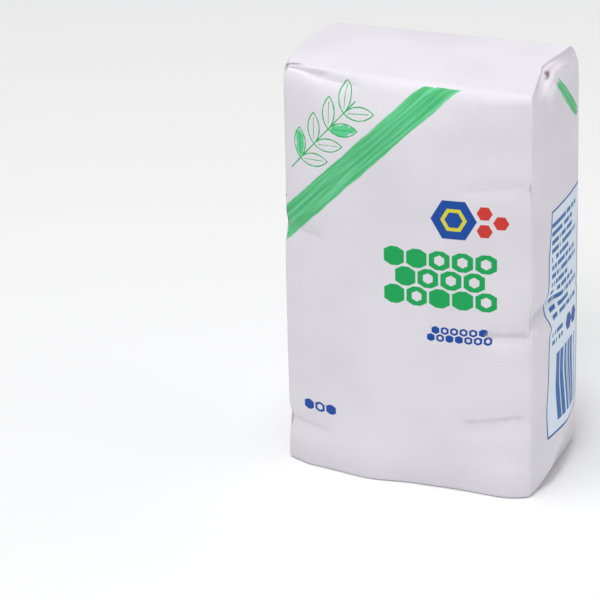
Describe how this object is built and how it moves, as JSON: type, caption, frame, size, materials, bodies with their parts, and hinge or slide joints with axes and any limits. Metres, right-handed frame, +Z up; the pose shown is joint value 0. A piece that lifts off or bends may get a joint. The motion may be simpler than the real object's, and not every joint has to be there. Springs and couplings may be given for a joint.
{
  "type": "bag of sugar",
  "caption": "Shut upright paper pack filled tight with sugar: swollen printed panels, glued top flap, tucked right end, folded flat base",
  "frame": {"origin": "on the ground under the middle of the bag's box", "axes": "+Z up along the bag's height, -Y out of the printed front panel, +X to the right seen from the front"},
  "size_m": [0.1151, 0.0716, 0.1786],
  "materials": {
    "paper": "smooth white packaging paper with a faint sheen, printed in green, blue, red and yellow"
  },
  "bodies": {
    "root": {"bag": "paper"}
  },
  "joints": []
}
